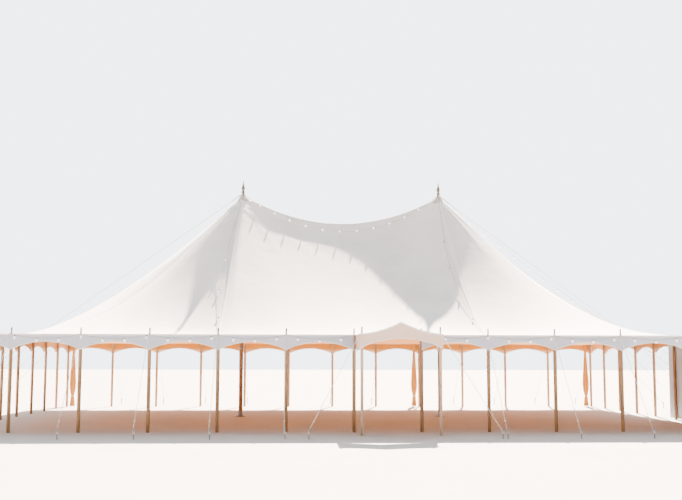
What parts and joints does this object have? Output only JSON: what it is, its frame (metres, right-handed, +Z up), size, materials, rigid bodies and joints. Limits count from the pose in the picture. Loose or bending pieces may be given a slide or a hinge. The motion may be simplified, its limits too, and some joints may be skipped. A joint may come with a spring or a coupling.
{
  "type": "sailcloth pole marquee",
  "caption": "White sailcloth event tent: swooping canopy on king poles with turned finials, scalloped valance, timber side poles, guy ropes and a gabled entrance awning.",
  "frame": {"origin": "on the ground under the middle of the canopy, halfway between the king poles", "axes": "+X along the tent's length to the right as seen from the front, +Y from the entrance side to the back, +Z up"},
  "size_m": [26.14, 17.56, 7.1539],
  "materials": {
    "timber": "oiled larch, satin",
    "finial_timber": "weathered turned hardwood",
    "canopy_cloth": "matt translucent sailcloth",
    "valance_cloth": "matt sailcloth",
    "wall_cloth": "matt sailcloth",
    "cable": "off-white round cable",
    "rope": "white braided rope"
  },
  "bodies": {
    "root": {"awning_guy_left": "rope", "awning_guy_right": "rope", "awning_pole_left": "timber", "awning_pole_right": "timber", "awning_roof": "canopy_cloth", "awning_valance": "valance_cloth", "canopy_back": "canopy_cloth", "canopy_front": "canopy_cloth", "canopy_left_end": "canopy_cloth", "canopy_right_end": "canopy_cloth", "curtain_back_left": "wall_cloth", "curtain_back_middle": "wall_cloth", "curtain_back_right": "wall_cloth", "festoon_eave_left": "cable", "festoon_eave_right": "cable", "festoon_front_left": "cable", "festoon_front_right": "cable", "festoon_main_guy_right": "cable", "festoon_ridge": "cable", "finial_left": "finial_timber", "finial_right": "finial_timber", "guy_ropes_back_1": "rope", "guy_ropes_back_2": "rope", "guy_ropes_back_3": "rope", "guy_ropes_front_1": "rope", "guy_ropes_front_2": "rope", "guy_ropes_front_3": "rope", "guy_ropes_left": "rope", "guy_ropes_right": "rope", "king_pole_left": "timber", "king_pole_right": "timber", "main_guy_left": "rope", "main_guy_right": "rope", "peak_collar_left": "canopy_cloth", "peak_collar_right": "canopy_cloth", "side_poles_back_1": "timber", "side_poles_back_2": "timber", "side_poles_back_3": "timber", "side_poles_front_1": "timber", "side_poles_front_2": "timber", "side_poles_front_3": "timber", "side_poles_left": "timber", "side_poles_right": "timber", "valance_back_left": "valance_cloth", "valance_back_right": "valance_cloth", "valance_front_left": "valance_cloth", "valance_front_right": "valance_cloth", "valance_left_end": "valance_cloth", "valance_right_end": "valance_cloth", "wall_panel_right_end": "wall_cloth"}
  },
  "joints": []
}
